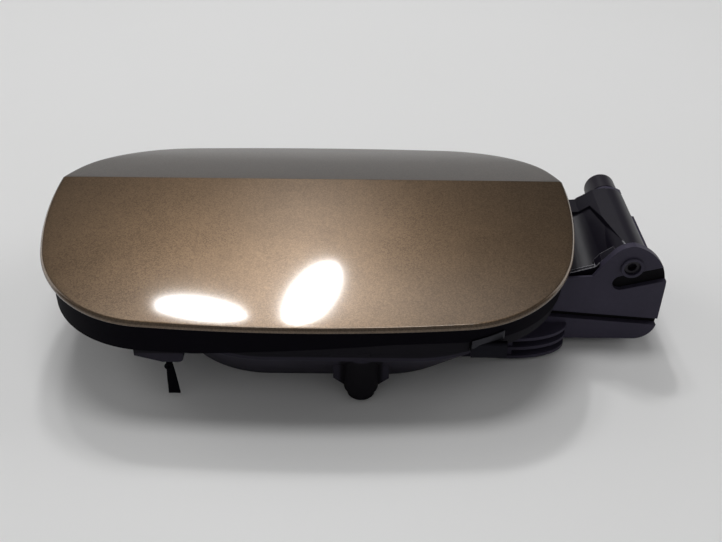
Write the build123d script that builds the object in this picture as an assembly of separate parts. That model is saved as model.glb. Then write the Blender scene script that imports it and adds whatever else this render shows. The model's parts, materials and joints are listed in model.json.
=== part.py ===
from build123d import *
import math
import os

os.makedirs("parts", exist_ok=True)

# Lengths are in millimetres and angles in degrees
# The neck axis is the origin, X runs to the hinge, Z runs up from the table

# Painted flap
flap_half_length = 100.0
flap_half_height = 67.0
flap_centre_x = -20.0
edge_arc = 665.0
side_arc = 124.0
corner_arc = 46.0
crease_y = 14.0
crease_z = 51.0
lower_fall = 8.15
upper_fall = 14.8
lower_bulge = 0.8
upper_bulge = 0.3
crease_round = 4.0
panel_thickness = 2.0
panel_top_round = 1.2
panel_back_round = 0.5
stud_radius = 2.2
stud_length = 5.0
stud_reach_x = 68.0
stud_reach_y = 28.0

# Frame behind the flap
frame_inset = 12.0
frame_thickness = 2.2
frame_wall = 1.8
frame_depth = 6.0
rib_thickness = 1.6
rib_depth = 2.6
rib_pitch = 28.0
cross_ribs = 5
rib_lines_y = (-44.0, -4.0, 40.0)
pad_drop = 1.2
pad_margin = 2.0
hole_gap = 0.3

# Hinge
hinge_x = 100.0
hinge_z = 37.0
pin_radius = 3.0
pin_gap = 0.06
barrel_radius = 7.2
barrel_half = 21.6
end_gap = 0.4
ear_wall = 3.0
ear_margin = 2.0
ear_bulge = 3.6
ear_lean = 45.0
far_ear_trim = 1.2
cheek_wall = 1.2
knob_radius = 6.2
knob_length = 10.6
knob_round = 1.6
boss_radius = 4.2
boss_height = 0.8
pin_sink = 1.0
socket_radius = 1.7
socket_depth = 2.4

# Arm between flap and hinge
arm_top_x = 87.0
arm_top_z = 38.4
arm_shoulder_x = 93.4
arm_shoulder_z = 43.0
arm_flap_z = 37.0
arm_end_x = 52.0
arm_end_z = 35.0
arm_low_x = 82.0
arm_low_z = 27.6
arm_cell_x = 66.0
arm_cells = 3
arm_wall = 2.2
tangent_tilt = 10.0
pocket_left_x = 67.0
pocket_near = ((80.0, 30.8), (88.0, 32.0), (97.6, 42.4))
pocket_far = ((80.0, 36.2), (86.0, 36.6), (91.0, 40.0))
pocket_far_y = 12.0
pocket_round = 12.0
lip_thickness = 1.8
land_width = 4.6
lip_points = ((79.0, 32.1), (87.4, 34.8), (89.5, 37.7), (93.7, 40.9))
barrel_round = 0.9

# Housing
rim_inset = 3.8
wall = 2.5
shelf_z = 26.0
bowl_top_length = 141.0
bowl_top_x = -7.4
bowl_top_flat = 16.6
bowl_top_z = 22.0
bowl_base_length = 120.4
bowl_base_x = -13.0
bowl_base_flat = 4.8
bowl_edge_gap = 5.4
bowl_taper = 35.6
bead_left = -11.0
bead_right = 3.0
bead_radius = 2.6
bead_inset = 6.6
floor_z = 3.0
floor_thickness = 2.5
neck_hole = 31.0
collar_radius = 36.5
collar_height = 4.0

# Hinge box
box_bottom = 3.2
box_right = 114.0
box_left = 68.0
box_round = 8.0
ear_shoulder_z = 29.0
ear_step_x = 86.0
ear_step_z = 32.6
ear_rise_x = 88.6
ear_rise_z = 37.2
ear_root_z = 30.4
groove_height = 3.0
groove_depth = 2.2
groove_left = 70.0
groove_tilt = 4.9
groove_z = 13.6
slot_left = 97.0
slot_depth = 2.0
slot_z = 29.9
slot_height = 6.4
slot_tilt = 15.0

# Stiffening fins beside the hinge box
fin_centre_x = 57.0
fin_reach_x = 22.0
fin_reach_y = 10.5
fin_thickness = 1.4
fin_first_z = 1.2
fin_pitch = 4.2
fin_count = 3
post_x = 56.0
post_width = 3.0
post_reach = 9.5
plate_left = 38.0
plate_low_z = 3.6
plate_high_z = 9.8
plate_thickness = 2.0

# Drain spout
spout_inset = 11.9
spout_radius = 5.0
spout_body_radius = 6.2
spout_bore = 3.4
spout_tip_z = 2.0
spout_web_half = 10.0
spout_web_z = 9.0
spout_web_thickness = 2.0
spout_free = 3.0
drain_z = 8.4
drain_radius = 2.4

# Lug and cut strap
lug_left = -79.0
lug_right = -62.0
lug_inset = 9.2
lug_thickness = 5.0
lug_low_z = 19.4
lug_high_z = 22.2
strap_x = -67.9
strap_width = 3.7
strap_thickness = 0.9
strap_end_z = 2.6
strap_lean = 0.5
strap_twist = 70.0
strap_seat = 3.0
strap_gap = 0.12

# Rim seal
seal_gap = 0.4
seal_cap = 1.2
seal_leg = 1.2
seal_rise = 5.0
seal_rise_left = -58.0
seal_rise_right = 12.0
seal_inner_depth = 4.0
seal_fit = 0.05
seal_break_half = 26.0
break_left = 60.0

# Neck seal
neck_radius = 26.0
neck_sleeve = 3.0
neck_fit = 0.05
neck_flange = 3.5
neck_flange_height = 1.8

# Leaf spring in the hinge box
leaf_thickness = 1.0
leaf_width = 18.0
leaf_start_x = 74.0
leaf_right_x = 108.4
leaf_turn_z = 22.0
leaf_top_z = 28.6
leaf_end_x = 90.0
leaf_end_z = 25.0
leaf_round = 3.0
leaf_hole_x = 82.0

# Rubber stops on the shelf
stop_reach = 72.0
stop_y = 12.0
stop_radius = 4.0
stop_foot_radius = 6.5
stop_foot_height = 2.0
stop_gap = 0.4

# Lock
lock_bowl_gap = 7.2
lock_length = 26.0
lock_half = 18.0
lock_low_z = 9.0
lock_round = 3.0
lock_ear_length = 8.0
lock_ear_height = 3.0
cover_height = 2.0
plug_length = 12.0
plug_reach = 10.0
plug_low_z = 12.0
plug_high_z = 22.0
plug_wall = 1.6
bolt_z = 17.0
bolt_radius = 3.0
bolt_gap = 0.06
bolt_back_gap = 6.0
bolt_set_back = 0.4
bolt_tip_round = 1.4
bolt_travel = 9.5
bolt_overrun = 1.1
guide_radius = 6.0
guide_reach = 2.3
bolt_seal_length = 1.4
bolt_seal_radius = 5.4
hook_thickness = 3.0
hook_half = 8.0
hook_low_z = 11.6
hook_eye_gap = 0.7
hook_tip_round = 5.0
hook_foot_left = 8.0
hook_foot_right = 12.0
hook_foot_half = 13.0
hook_foot_thickness = 2.0
hook_screw_y = 10.0

# Holder for the filler cap
holder_x = 20.0
holder_half_x = 14.0
holder_half_y = 14.0
holder_thickness = 2.0
holder_reach = 9.0
holder_lip = 3.0
holder_screw_x = 10.0

# Steel clips to the body panel
clip_width = 12.4
clip_thickness = 0.8
clip_inset = 7.9
clip_grip = 2.2
clip_gap = 0.2
clip_side_gap = 0.5
clip_fold = 1.8
clip_lean = 2.8
clip_drop = 1.0
clip_tongue = 5.0
clip_round = 0.8
clip_spots = ((43.8, -1), (43.8, 1))

# Screws
screw_radius = 2.0
screw_head_radius = 3.6
screw_head_height = 2.2
screw_gap = 0.05
cross_width = 1.0
cross_length = 4.4
cross_depth = 1.0
small_screw = 0.8

# Push-on nuts of the flap panel
nut_radius = 5.0
nut_thickness = 0.8
nut_gap = 0.05
nut_notches = 6
nut_notch_width = 0.8
nut_notch_reach = 3.8

# Shared working sizes
tall = 120.0
reach = 260.0
roof_margin = 14.0
bite = 1.0


def block(x0, x1, y0, y1, z0, z1):
    return Pos((x0 + x1) / 2, (y0 + y1) / 2, (z0 + z1) / 2) * Box(x1 - x0, y1 - y0, z1 - z0)


def rod_x(x0, x1, y, z, radius):
    return Pos((x0 + x1) / 2, y, z) * Rot(0, 90, 0) * Cylinder(radius, x1 - x0)


def rod_y(y0, y1, x, z, radius):
    return Pos(x, (y0 + y1) / 2, z) * Rot(90, 0, 0) * Cylinder(radius, y1 - y0)


def rod_z(z0, z1, x, y, radius):
    return Pos(x, y, (z0 + z1) / 2) * Cylinder(radius, z1 - z0)


def slab_y(face, y0, y1):
    return extrude(Plane.XZ.offset(-y1) * face, amount=y1 - y0, dir=(0, -1, 0))


def slab_x(face, x0, x1):
    return extrude(Plane.YZ.offset(x0) * face, amount=x1 - x0, dir=(1, 0, 0))


def shape(points):
    return make_face(Polyline(*points, close=True))


# The outline has one long arc per edge, one arc per side and one arc per corner
def outline(inset):
    half_x = flap_half_length - inset
    half_y = flap_half_height - inset
    edge_centre = Vector(0, flap_half_height - edge_arc)
    side_centre = Vector(flap_half_length - side_arc, 0)
    to_edge = edge_arc - corner_arc
    to_side = side_arc - corner_arc
    line = side_centre - edge_centre
    along = (to_edge ** 2 - to_side ** 2 + line.length ** 2) / (2 * line.length)
    across = math.sqrt(to_edge ** 2 - along ** 2)
    way = line.normalized()
    corner = edge_centre + way * along + Vector(way.Y, -way.X) * across
    edge_way = (corner - edge_centre).normalized()
    side_way = (corner - side_centre).normalized()
    join_edge = edge_centre + edge_way * (edge_arc - inset)
    join_side = side_centre + side_way * (side_arc - inset)
    middle = corner + (edge_way + side_way).normalized() * (corner_arc - inset)

    def at(point, sign_x, sign_y):
        return (flap_centre_x + sign_x * point.X, sign_y * point.Y)

    top = Vector(0, half_y)
    side = Vector(half_x, 0)
    arcs = []
    for sign in (1, -1):
        arcs.append(ThreePointArc(at(join_edge, -1, sign), at(top, 1, sign), at(join_edge, 1, sign)))
        arcs.append(ThreePointArc(at(join_side, sign, 1), at(side, sign, 1), at(join_side, sign, -1)))
        for other in (1, -1):
            start = at(join_edge, sign, other)
            arcs.append(ThreePointArc(start, at(middle, sign, other), at(join_side, sign, other)))
    return make_face(arcs)


def prism(inset, z0, z1):
    return extrude(Pos(0, 0, z0) * outline(inset), amount=z1 - z0, dir=(0, 0, 1))


def ring(outer, inner, z0, z1):
    return prism(outer, z0, z1) - prism(inner, z0, z1)


# Two gently bulged planes meet in the crease
def roof_height(y):
    if y < crease_y:
        return crease_z - (crease_y - y) * math.tan(math.radians(lower_fall))
    return crease_z - (y - crease_y) * math.tan(math.radians(upper_fall))


def roof_face():
    front = -flap_half_height - roof_margin
    rear = flap_half_height + roof_margin
    front_mid = (front + crease_y) / 2
    rear_mid = (rear + crease_y) / 2
    lower = ThreePointArc(
        (front, roof_height(front)),
        (front_mid, roof_height(front_mid) + lower_bulge),
        (crease_y, crease_z),
    )
    upper = ThreePointArc(
        (crease_y, crease_z),
        (rear_mid, roof_height(rear_mid) + upper_bulge),
        (rear, roof_height(rear)),
    )
    rest = Polyline((rear, roof_height(rear)), (rear, -tall), (front, -tall), (front, roof_height(front)))
    face = make_face([lower, upper, rest])
    return fillet(face.vertices().sort_by(Axis.Y)[-1], crease_round)


roof = roof_face()


def under_roof(drop):
    return slab_x(Pos(0, -drop) * roof, -reach, reach)


def layer(solid, drop, thickness):
    return (solid & under_roof(drop)) - under_roof(drop + thickness)


# A pan-head screw that points up, its seat at z
def screw(x, y, z, length, size):
    head = rod_z(z - screw_head_height * size, z, x, y, screw_head_radius * size)
    head = fillet(head.edges().sort_by(Axis.Z)[0], screw_head_height * size / 3)
    shank = rod_z(z, z + length, x, y, screw_radius * size)
    low = z - screw_head_height * size
    arm = cross_length * size / 2
    half = cross_width * size / 2
    deep = cross_depth * size
    slot = block(x - arm, x + arm, y - half, y + half, low - bite, low + deep)
    slot += block(x - half, x + half, y - arm, y + arm, low - bite, low + deep)
    return head + shank - slot


frame_drop = panel_thickness + frame_thickness
frame_right = flap_centre_x + flap_half_length - frame_inset
pad_z = roof_height(-hook_foot_half) - frame_drop - pad_drop
shelf_top = shelf_z + wall
floor_top = floor_z + floor_thickness
box_inner = barrel_half + end_gap
box_half = box_inner + ear_wall
bowl_top_height = 2 * (flap_half_height - bowl_edge_gap)
bowl_base_height = bowl_top_height - bowl_taper
bowl_top_round = bowl_top_height / 2 - bowl_top_flat
bowl_base_round = bowl_base_height / 2 - bowl_base_flat
spout_y = spout_inset - flap_half_height
lug_y = lug_inset - flap_half_height
clip_seat = flap_half_height - clip_inset
stop_x = flap_centre_x - stop_reach
stud_spots = []
for side_x in (-1, 1):
    for side_y in (-1, 1):
        stud_spots.append((flap_centre_x + side_x * stud_reach_x, side_y * stud_reach_y))


# Length, height, middle and corner of the bowl at a height above the table
def bowl_size(z):
    share = min(z / bowl_top_z, 1)
    length = bowl_base_length + (bowl_top_length - bowl_base_length) * share
    height = bowl_base_height + (bowl_top_height - bowl_base_height) * share
    x = bowl_base_x + (bowl_top_x - bowl_base_x) * share
    return length, height, x, bowl_base_round + (bowl_top_round - bowl_base_round) * share


bolt_level = bowl_size(bolt_z)
bowl_left = bolt_level[2] - bolt_level[0] / 2
guide_end_x = bowl_left + wall + guide_reach
lock_right = bowl_left - lock_bowl_gap
lock_left = lock_right - lock_length
bolt_back_x = lock_left + bolt_back_gap
bolt_tip_x = guide_end_x - bolt_set_back
hook_x = bolt_tip_x + bolt_travel - bolt_overrun - hook_thickness
hook_left = hook_x - hook_foot_left
hook_right = hook_x + hook_foot_right
hook_screw_x = hook_x + (hook_thickness + hook_foot_right) / 2
lock_screw_x = lock_right - lock_ear_length
lock_screw_y = lock_half + lock_ear_length / 2
plug_x = lock_left + plug_length / 2 + plug_wall


# Painted outer panel with four studs behind
def make_outer_panel():
    panel = layer(prism(0, 0, tall), 0, panel_thickness)
    top = panel.faces().filter_by(lambda face: face.normal_at().Z > 0.5).edges()
    panel = fillet(top.filter_by(GeomType.LINE, reverse=True), panel_top_round)
    back = panel.faces().filter_by(lambda face: face.normal_at().Z < -0.5).edges()
    panel = fillet(back.filter_by(GeomType.LINE, reverse=True), panel_back_round)
    for x, y in stud_spots:
        low = roof_height(y) - frame_drop - stud_length
        panel += rod_z(low, tall, x, y, stud_radius) & under_roof(panel_thickness / 2)
    return panel


# Goose-neck arm with a recessed pocket beside the barrel
def make_arm():
    tilt = math.radians(tangent_tilt)
    brow_x = hinge_x - barrel_radius * math.sin(tilt)
    brow_z = hinge_z + barrel_radius * math.cos(tilt)
    side = shape([
        (hinge_x, hinge_z - barrel_radius),
        (arm_low_x, arm_low_z),
        (arm_end_x, arm_end_z),
        (arm_end_x, crease_z),
        (frame_right, crease_z),
        (frame_right, arm_flap_z),
        (arm_top_x, arm_top_z),
        (arm_shoulder_x, arm_shoulder_z),
        (brow_x, brow_z),
        (hinge_x, hinge_z),
    ])
    neck = slab_y(side, -barrel_half, barrel_half)
    neck = (neck & under_roof(panel_thickness)) + (neck & block(frame_right, hinge_x, -reach, reach, 0, tall))
    cell = (2 * barrel_half - arm_wall) / arm_cells
    for number in range(arm_cells):
        start = -barrel_half + arm_wall + number * cell
        hollow = block(arm_end_x + arm_wall, arm_cell_x, start, start + cell - arm_wall, 0, tall)
        neck -= hollow & under_roof(frame_drop)
    barrel = rod_y(-barrel_half, barrel_half, hinge_x, hinge_z, barrel_radius)
    barrel = fillet(barrel.edges().filter_by(GeomType.CIRCLE), barrel_round)
    near_y = -barrel_half + lip_thickness
    sections = []
    for y, floor in ((near_y, pocket_near), (pocket_far_y, pocket_far)):
        left = (pocket_left_x, floor[0][1])
        section = shape([left, *floor, (floor[-1][0], tall), (pocket_left_x, tall)])
        section = fillet(section.vertices().sort_by(Axis.Y)[1:3], pocket_round)
        sections.append(Plane.XZ.offset(-y) * section)
    scoop = loft(sections)
    above_lip = shape([
        (pocket_left_x, lip_points[0][1]),
        *lip_points,
        (brow_x, brow_z),
        (brow_x, tall),
        (pocket_left_x, tall),
    ])
    lip_cut = slab_y(above_lip, -barrel_half - bite, near_y)
    land_foot = (lip_points[1][0], pocket_near[1][1])
    land = shape([*lip_points[1:], (brow_x, brow_z), (brow_x, hinge_z), land_foot])
    arm = neck - scoop - lip_cut + slab_y(land, -barrel_half, -barrel_half + land_width) + barrel
    return arm - rod_y(-reach, reach, hinge_x, hinge_z, pin_radius + pin_gap)


# Ribbed frame behind the panel
def make_flap_frame():
    frame = layer(prism(frame_inset, 0, tall), panel_thickness, frame_thickness)
    frame += layer(ring(frame_inset, frame_inset + frame_wall, 0, tall), panel_thickness, frame_depth)
    inside = prism(frame_inset + frame_wall / 2, 0, tall)
    half = rib_thickness / 2
    for y in rib_lines_y:
        rib = block(-reach, arm_end_x, y - half, y + half, 0, tall) & inside
        frame += layer(rib, panel_thickness, frame_thickness + rib_depth)
    for number in range(cross_ribs):
        x = flap_centre_x + (number - (cross_ribs - 1) / 2) * rib_pitch
        rib = block(x - half, x + half, -reach, reach, 0, tall) & inside
        frame += layer(rib, panel_thickness, frame_thickness + rib_depth)
    hook_pad = (hook_left, hook_right, -hook_foot_half - pad_margin, hook_foot_half + pad_margin)
    holder_left = holder_x - holder_half_x - pad_margin
    holder_right = holder_x + holder_half_x + pad_margin
    holder_pad = (holder_left, holder_right, -holder_half_y - pad_margin, holder_half_y + pad_margin)
    for pad in (hook_pad, holder_pad):
        frame -= block(*pad, 0, pad_z)
        frame += block(*pad, pad_z, tall) & under_roof(panel_thickness)
    frame += make_arm()
    for x, y in stud_spots:
        frame -= rod_z(0, tall, x, y, stud_radius + hole_gap)
        frame -= rod_z(0, tall, x, y, nut_radius + hole_gap) & under_roof(frame_drop)
    hole = screw_radius * small_screw + screw_gap
    for x, y in screw_spots():
        frame -= rod_z(0, tall, x, y, hole)
    return frame


def screw_spots():
    spots = []
    for side_y in (-1, 1):
        spots.append((hook_screw_x, side_y * hook_screw_y))
    for side_x in (-1, 1):
        spots.append((holder_x + side_x * holder_screw_x, 0))
    return spots


# Star-shaped push-on nuts on the studs
def make_push_nuts():
    nuts = []
    for x, y in stud_spots:
        disc = rod_z(0, tall, x, y, nut_radius) - rod_z(0, tall, x, y, stud_radius + nut_gap)
        for number in range(nut_notches):
            notch = block(0, nut_notch_reach, -nut_notch_width / 2, nut_notch_width / 2, 0, tall)
            disc -= Pos(x, y, 0) * Rot(0, 0, number * 360 / nut_notches) * notch
        nuts.append(layer(disc, frame_drop, nut_thickness))
    return Compound(children=nuts)


# Eyed hook that the lock bolt enters
def make_lock_hook():
    foot = block(hook_left + pad_margin, hook_right - pad_margin, -hook_foot_half, hook_foot_half,
                 pad_z - hook_foot_thickness, pad_z)
    foot = fillet(foot.edges().filter_by(Axis.Z), hook_foot_thickness)
    plate = block(hook_x, hook_x + hook_thickness, -hook_half, hook_half, hook_low_z, pad_z)
    tips = plate.edges().filter_by(Axis.X).group_by(Axis.Z)[0]
    plate = fillet(tips, hook_tip_round)
    gusset = shape([
        (hook_x + hook_thickness / 2, pad_z - hook_foot_thickness / 2),
        (hook_right - pad_margin - hook_foot_thickness, pad_z - hook_foot_thickness / 2),
        (hook_x + hook_thickness / 2, pad_z - hook_foot_right),
    ])
    hook = foot + plate + slab_y(gusset, -hook_foot_thickness / 2, hook_foot_thickness / 2)
    hook -= rod_x(-reach, reach, 0, bolt_z, bolt_radius + hook_eye_gap)
    hole = screw_radius * small_screw + screw_gap
    for side_y in (-1, 1):
        hook -= rod_z(0, tall, hook_screw_x, side_y * hook_screw_y, hole)
    return hook


# Spring fingers that hold the filler cap while filling
def make_cap_holder():
    low = pad_z - holder_thickness
    left = holder_x - holder_half_x
    right = holder_x + holder_half_x
    plate = block(left, right, -holder_half_y, holder_half_y, low, pad_z)
    plate = fillet(plate.edges().filter_by(Axis.Z), holder_thickness)
    finger_half = holder_half_x / 2
    for side_y in (-1, 1):
        outer = side_y * holder_half_y
        inner = outer - side_y * holder_thickness
        tip = inner - side_y * holder_lip
        profile = shape([
            (outer, low + holder_thickness / 2),
            (outer, low - holder_reach),
            (inner, low - holder_reach - holder_thickness),
            (tip, low - holder_reach + holder_thickness / 2),
            (inner, low - holder_reach + holder_lip),
            (inner, low + holder_thickness / 2),
        ])
        plate += slab_x(profile, holder_x - finger_half, holder_x + finger_half)
    hole = screw_radius * small_screw + screw_gap
    for side_x in (-1, 1):
        plate -= rod_z(0, tall, holder_x + side_x * holder_screw_x, 0, hole)
    return plate


def make_flap_screws():
    screws = []
    for x, y in screw_spots():
        seat = pad_z - hook_foot_thickness
        if y == 0:
            seat = pad_z - holder_thickness
        length = pad_z - seat + pad_drop + frame_thickness / 2
        screws.append(screw(x, y, seat, length, small_screw))
    return Compound(children=screws)


# Headed hinge pin with a socket in its near end
def make_hinge_pin():
    pin = rod_y(-box_half - boss_height + pin_sink, box_half, hinge_x, hinge_z, pin_radius)
    knob = rod_y(box_half, box_half + knob_length, hinge_x, hinge_z, knob_radius)
    knob = fillet(knob.edges().filter_by(GeomType.CIRCLE).sort_by(Axis.Y)[-1], knob_round)
    near = -box_half - boss_height + pin_sink
    return pin + knob - rod_y(near, near + socket_depth, hinge_x, hinge_z, socket_radius)


# Bowl sections blend from the base to a straight wall under the shelf
def bowl_section(z, inset):
    length, height, x, radius = bowl_size(z)
    return Pos(x, 0, z) * RectangleRounded(length - 2 * inset, height - 2 * inset, radius - inset)


def bowl_solid(z0, inset):
    return loft([bowl_section(z0, inset), bowl_section(bowl_top_z, inset)])


def bowl_wall(z1, inset):
    return extrude(bowl_section(bowl_top_z, inset), amount=z1 - bowl_top_z, dir=(0, 0, 1))


# Ear plate of the hinge box, seen from the side
def ear_face(radius):
    top = Vector(hinge_x, hinge_z + radius)
    shoulder = Vector(box_right, ear_shoulder_z)
    chord = (shoulder - top).normalized()
    knee = (top + shoulder) / 2 + Vector(-chord.Y, chord.X) * ear_bulge
    lean = math.radians(ear_lean)
    flank = (hinge_x - radius * math.sin(lean), hinge_z + radius * math.cos(lean))
    brow = (hinge_x - radius * math.sin(lean / 2), hinge_z + radius * math.cos(lean / 2))
    corner = (box_right - box_round, box_bottom)
    rise = (box_right, box_bottom + box_round)
    lines = [
        Line(rise, (shoulder.X, shoulder.Y)),
        ThreePointArc((shoulder.X, shoulder.Y), (knee.X, knee.Y), (top.X, top.Y)),
        ThreePointArc((top.X, top.Y), brow, flank),
        Polyline(flank, (ear_rise_x, ear_rise_z), (ear_step_x, ear_step_z), (break_left, ear_root_z),
                 (break_left, box_bottom), corner),
        RadiusArc(corner, rise, -box_round),
    ]
    return make_face(lines)


def make_housing():
    rim_drop = panel_thickness + seal_gap + seal_cap
    housing = ring(rim_inset, rim_inset + wall, shelf_z, tall) & under_roof(rim_drop)
    housing += prism(rim_inset, shelf_z, shelf_top)
    housing += bowl_solid(0, 0) + bowl_wall(shelf_top, 0)
    near_ear = ear_face(barrel_radius + ear_margin)
    far_radius = barrel_radius - far_ear_trim
    far_ear = ear_face(far_radius)
    low_box = slab_y(near_ear, -box_half, box_half) & block(0, reach, -reach, reach, 0, shelf_top)
    housing += low_box
    for number in range(fin_count):
        z = fin_first_z + number * fin_pitch
        fin = extrude(Pos(fin_centre_x, -box_half, z) * Ellipse(fin_reach_x, fin_reach_y),
                      amount=fin_thickness, dir=(0, 0, 1))
        housing += fin
    post_front = -box_half - post_reach
    post_left = post_x - post_width / 2
    housing += block(post_left, post_left + post_width, post_front, -box_half, fin_first_z, shelf_top)
    plate = shape([
        (plate_left, fin_first_z),
        (plate_left, plate_low_z),
        (post_x, plate_high_z),
        (post_x, fin_first_z),
    ])
    housing += slab_y(plate, post_front, post_front + plate_thickness)
    bead = rod_x(bead_left, bead_right, bead_inset - flap_half_height, shelf_z, bead_radius)
    housing += bead & block(-reach, reach, -reach, 0, 0, shelf_top)
    body_low = spout_tip_z + spout_free
    web = shape([
        (-spout_web_half, shelf_z),
        (-spout_web_half, spout_web_z),
        (-spout_radius, body_low),
        (spout_radius, body_low),
        (spout_web_half, spout_web_z),
        (spout_web_half, shelf_z),
    ])
    housing += slab_y(web, spout_y - spout_web_thickness / 2, spout_y + spout_web_thickness / 2)
    housing += block(-spout_radius, spout_radius, spout_y, -bowl_base_height / 2 + bite, body_low, shelf_z)
    housing += rod_z(body_low, shelf_z, 0, spout_y, spout_body_radius)
    housing += rod_z(spout_tip_z, shelf_z, 0, spout_y, spout_radius)
    lug = shape([
        (lug_left, shelf_z + bite),
        (lug_left, lug_high_z),
        (lug_right - strap_width * 2, lug_low_z),
        (lug_right, lug_low_z),
        (lug_right, shelf_z + bite),
    ])
    lug = fillet(lug.vertices().group_by(Axis.Y)[0].sort_by(Axis.X)[-1], strap_width / 2)
    housing += slab_y(lug, lug_y - lug_thickness / 2, lug_y + lug_thickness / 2)

    housing -= bowl_solid(floor_top, wall) + bowl_wall(shelf_top + bite, wall)
    housing -= bowl_solid(-bite / 2, wall) & block(-reach, reach, -reach, reach, -bite, floor_z)
    housing -= block(box_left, box_right - wall, -box_inner, box_inner, box_bottom + wall, tall)
    housing -= block(break_left, reach, -box_inner, box_inner, shelf_top, tall)
    housing -= rod_z(-bite, floor_top + bite, 0, 0, neck_hole)
    above_shelf = block(break_left, reach, -reach, reach, shelf_z, tall)
    housing += slab_y(near_ear, -box_half, -box_inner) & above_shelf
    left_of_rim = block(break_left, hinge_x + far_radius, -reach, reach, shelf_z, tall)
    housing += slab_y(far_ear, box_inner, box_half) & left_of_rim
    cheek = box_half - cheek_wall
    housing -= block(box_left, ear_rise_x, -cheek, cheek, shelf_top, tall)
    slot = Pos(reach / 2, -box_half, 0) * Box(reach, slot_depth * 2, slot_height)
    slot += Pos(0, -box_half, 0) * Rot(90, 0, 0) * Cylinder(slot_height / 2, slot_depth * 2)
    housing -= Pos(slot_left, 0, slot_z) * Rot(0, -slot_tilt, 0) * slot
    housing += rod_y(-box_half - boss_height, -box_inner, hinge_x, hinge_z, boss_radius)
    housing -= rod_y(-reach, reach, hinge_x, hinge_z, pin_radius + pin_gap)
    groove = Box(reach, groove_depth * 2, groove_height)
    groove = Pos((box_left + box_right) / 2, -box_half, groove_z) * Rot(0, groove_tilt, 0) * groove
    housing -= groove & block(groove_left, reach, -reach, reach, 0, tall)

    collar = rod_z(floor_top, floor_top + collar_height, 0, 0, collar_radius + wall)
    housing += collar - rod_z(floor_top, floor_top + collar_height, 0, 0, collar_radius)
    housing += rod_x(lock_right, guide_end_x, 0, bolt_z, guide_radius)
    housing -= rod_x(-reach, guide_end_x + bite, 0, bolt_z, bolt_radius + bolt_gap)
    housing -= rod_z(spout_tip_z - bite, drain_z + drain_radius + bite, 0, spout_y, spout_bore)
    housing -= rod_y(spout_y, 0, 0, drain_z, drain_radius)
    housing -= strap_slot()
    half = clip_width / 2 + clip_side_gap
    for x, side_y in clip_spots:
        near, far = sorted((side_y * clip_seat, side_y * reach))
        housing -= block(x - half, x + half, near, far, shelf_z - bite, shelf_z + seal_rise)
        near, far = sorted((side_y * (clip_seat - clip_grip - clip_side_gap), side_y * reach))
        housing -= block(x - half, x + half, near, far, shelf_z - clip_thickness - clip_side_gap, shelf_z)
    hole = screw_radius + screw_gap
    for side_y in (-1, 1):
        housing -= rod_z(shelf_z - bite, shelf_top + bite, lock_screw_x, side_y * lock_screw_y, hole)
    housing -= rod_z(0, floor_top + bite, leaf_hole_x, 0, hole)
    return housing


def strap_section(z, share):
    lean = Pos(strap_x + strap_lean * share, lug_y, z)
    return lean * Rot(0, 0, strap_twist * (1 - share)) * Rectangle(strap_width, strap_thickness)


# Cut strap, edge-on at the lug and turned flat at its loose end
def make_tether_strap():
    plug = extrude(strap_section(lug_low_z - bite, 0), amount=strap_seat + bite, dir=(0, 0, 1))
    sections = []
    steps = 5
    for number in range(steps):
        share = number / (steps - 1)
        z = lug_low_z - bite + (strap_end_z - lug_low_z + bite) * share
        sections.append(strap_section(z, share))
    return plug + loft(sections)


def strap_slot():
    face = Pos(strap_x, lug_y, lug_low_z - bite) * Rot(0, 0, strap_twist)
    face = face * Rectangle(strap_width + 2 * strap_gap, strap_thickness + 2 * strap_gap)
    return extrude(face, amount=strap_seat + bite + strap_gap, dir=(0, 0, 1))


# Rubber channel pushed over the rim
def make_rim_seal():
    drop = panel_thickness + seal_gap
    outer = rim_inset - seal_fit
    inner = rim_inset + wall + seal_fit
    seal = layer(ring(outer - seal_leg, inner + seal_leg, 0, tall), drop, seal_cap)
    skirt = shape([
        (-reach, shelf_z),
        (seal_rise_left, shelf_z),
        (seal_rise_right, shelf_z + seal_rise),
        (reach, shelf_z + seal_rise),
        (reach, tall),
        (-reach, tall),
    ])
    seal += ring(outer - seal_leg, outer, shelf_z, tall) & under_roof(drop) & slab_y(skirt, -reach, reach)
    seal += layer(ring(inner, inner + seal_leg, 0, tall), drop, seal_inner_depth)
    return seal - block(break_left, reach, -seal_break_half, seal_break_half, 0, tall)


# Rubber ring that grips the floor round the filler neck
def make_neck_seal():
    outer = neck_hole - neck_fit
    sleeve = neck_radius + neck_sleeve
    flange = neck_hole + neck_flange
    low = floor_z - neck_fit
    high = floor_top + neck_fit
    profile = shape([
        (neck_radius, 0),
        (sleeve, 0),
        (sleeve, low - neck_flange_height),
        (flange, low - neck_flange_height),
        (flange, low),
        (outer, low),
        (outer, high),
        (flange, high),
        (flange, high + neck_flange_height),
        (neck_radius, high + neck_flange_height),
    ])
    return revolve(Plane.XZ * profile, axis=Axis.Z)


# Bent leaf spring under the barrel
def make_leaf_spring():
    base = box_bottom + wall + leaf_thickness / 2
    path = FilletPolyline(
        (leaf_start_x, base),
        (leaf_right_x, base),
        (leaf_right_x, leaf_turn_z),
        (hinge_x, leaf_top_z),
        (leaf_end_x, leaf_end_z),
        radius=leaf_round,
    )
    strip = slab_y(trace(path, leaf_thickness), -leaf_width / 2, leaf_width / 2)
    return strip - rod_z(0, base + leaf_thickness, leaf_hole_x, 0, screw_radius + screw_gap)


def make_spring_screw():
    top = box_bottom + wall + leaf_thickness
    turned = screw(0, 0, 0, leaf_thickness + wall - bite / 2, 1)
    return Pos(leaf_hole_x, 0, top) * Rot(180, 0, 0) * turned


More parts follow.
